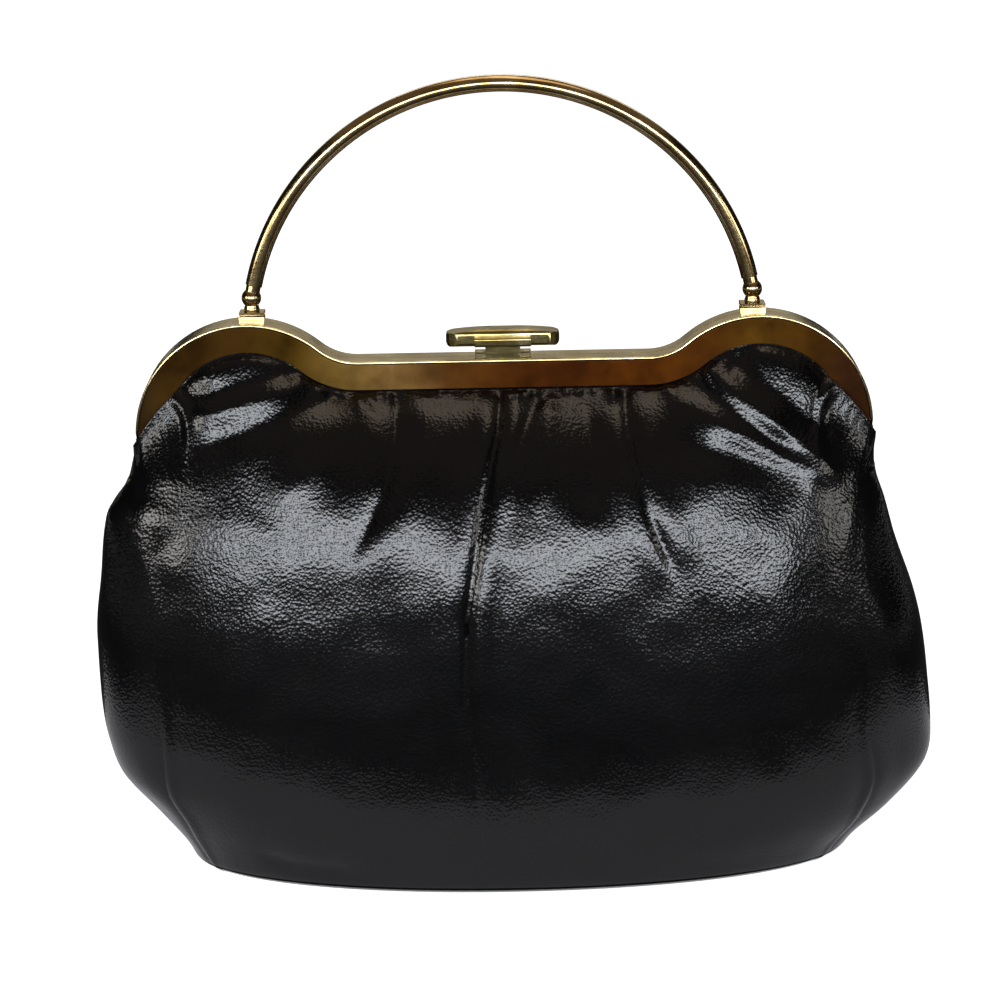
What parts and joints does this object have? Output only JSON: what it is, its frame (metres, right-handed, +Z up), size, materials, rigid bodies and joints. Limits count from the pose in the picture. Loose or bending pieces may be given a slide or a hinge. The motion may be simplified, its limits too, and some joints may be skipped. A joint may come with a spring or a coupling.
{
  "type": "kiss lock frame purse",
  "caption": "Soft leather handbag gathered into a round-shouldered double metal frame with a bar kiss lock on top and a fold-down tube handle.",
  "frame": {"origin": "on the ground under the middle of the bag", "axes": "+Z up, +X to the right as seen from the front, the front face looks along -Y"},
  "size_m": [0.2922, 0.0958, 0.2776],
  "materials": {
    "pouch_leather": "black fine-grained leather with a soft semi-gloss",
    "lining_fabric": "dark plain-woven lining",
    "board": "grey-brown fibre board",
    "packing": "twisted paper cord",
    "frame_gold": "polished pale gold plating",
    "band_amber": "dark amber lacquered metal, polished",
    "lock_gold": "polished khaki gold plating",
    "handle_gold": "polished gold plating",
    "pin_brass": "plain brass",
    "washer_steel": "plain steel"
  },
  "bodies": {
    "pouch": {"front_left_panel": "pouch_leather", "front_right_panel": "pouch_leather", "rear_left_panel": "pouch_leather", "rear_right_panel": "pouch_leather", "left_gusset": "pouch_leather", "right_gusset": "pouch_leather", "base_leather": "pouch_leather", "base_board": "board", "lining": "lining_fabric", "left_frame_pin": "pin_brass", "right_frame_pin": "pin_brass", "frame_washers": "washer_steel"},
    "front_half": {"front_frame": "frame_gold", "front_cover_band": "band_amber", "front_lock_catch": "lock_gold", "front_lock_rivets": "pin_brass", "front_packing_cord": "packing", "front_mouth_leather": "pouch_leather", "front_mouth_lining": "lining_fabric"},
    "rear_half": {"rear_frame": "frame_gold", "rear_cover_band": "band_amber", "rear_lock_bar": "lock_gold", "rear_lock_rivets": "pin_brass", "rear_packing_cord": "packing", "rear_mouth_leather": "pouch_leather", "rear_mouth_lining": "lining_fabric", "left_handle_bracket": "frame_gold", "right_handle_bracket": "frame_gold", "handle_bracket_rivets": "pin_brass", "handle_hinge_pins": "pin_brass"},
    "handle": {"handle_tube": "handle_gold", "left_handle_leaf": "frame_gold", "right_handle_leaf": "frame_gold", "left_handle_ball": "handle_gold", "right_handle_ball": "handle_gold"}
  },
  "joints": [
    {"name": "rear_opens", "type": "hinge", "parent": "pouch", "child": "rear_half", "pos_m": [0, 0, 0.152], "axis": [1, 0, 0], "range_deg": [-40, 0]},
    {"name": "front_opens", "type": "hinge", "parent": "pouch", "child": "front_half", "pos_m": [0, 0, 0.152], "axis": [1, 0, 0], "range_deg": [0, 40]},
    {"name": "handle_folds", "type": "hinge", "parent": "rear_half", "child": "handle", "pos_m": [0, 0.0085, 0.1965], "axis": [1, 0, 0], "range_deg": [-115, 0]}
  ],
  "couplings": [
    {"joint": "front_opens", "follows": "rear_opens", "ratio": -1}
  ]
}
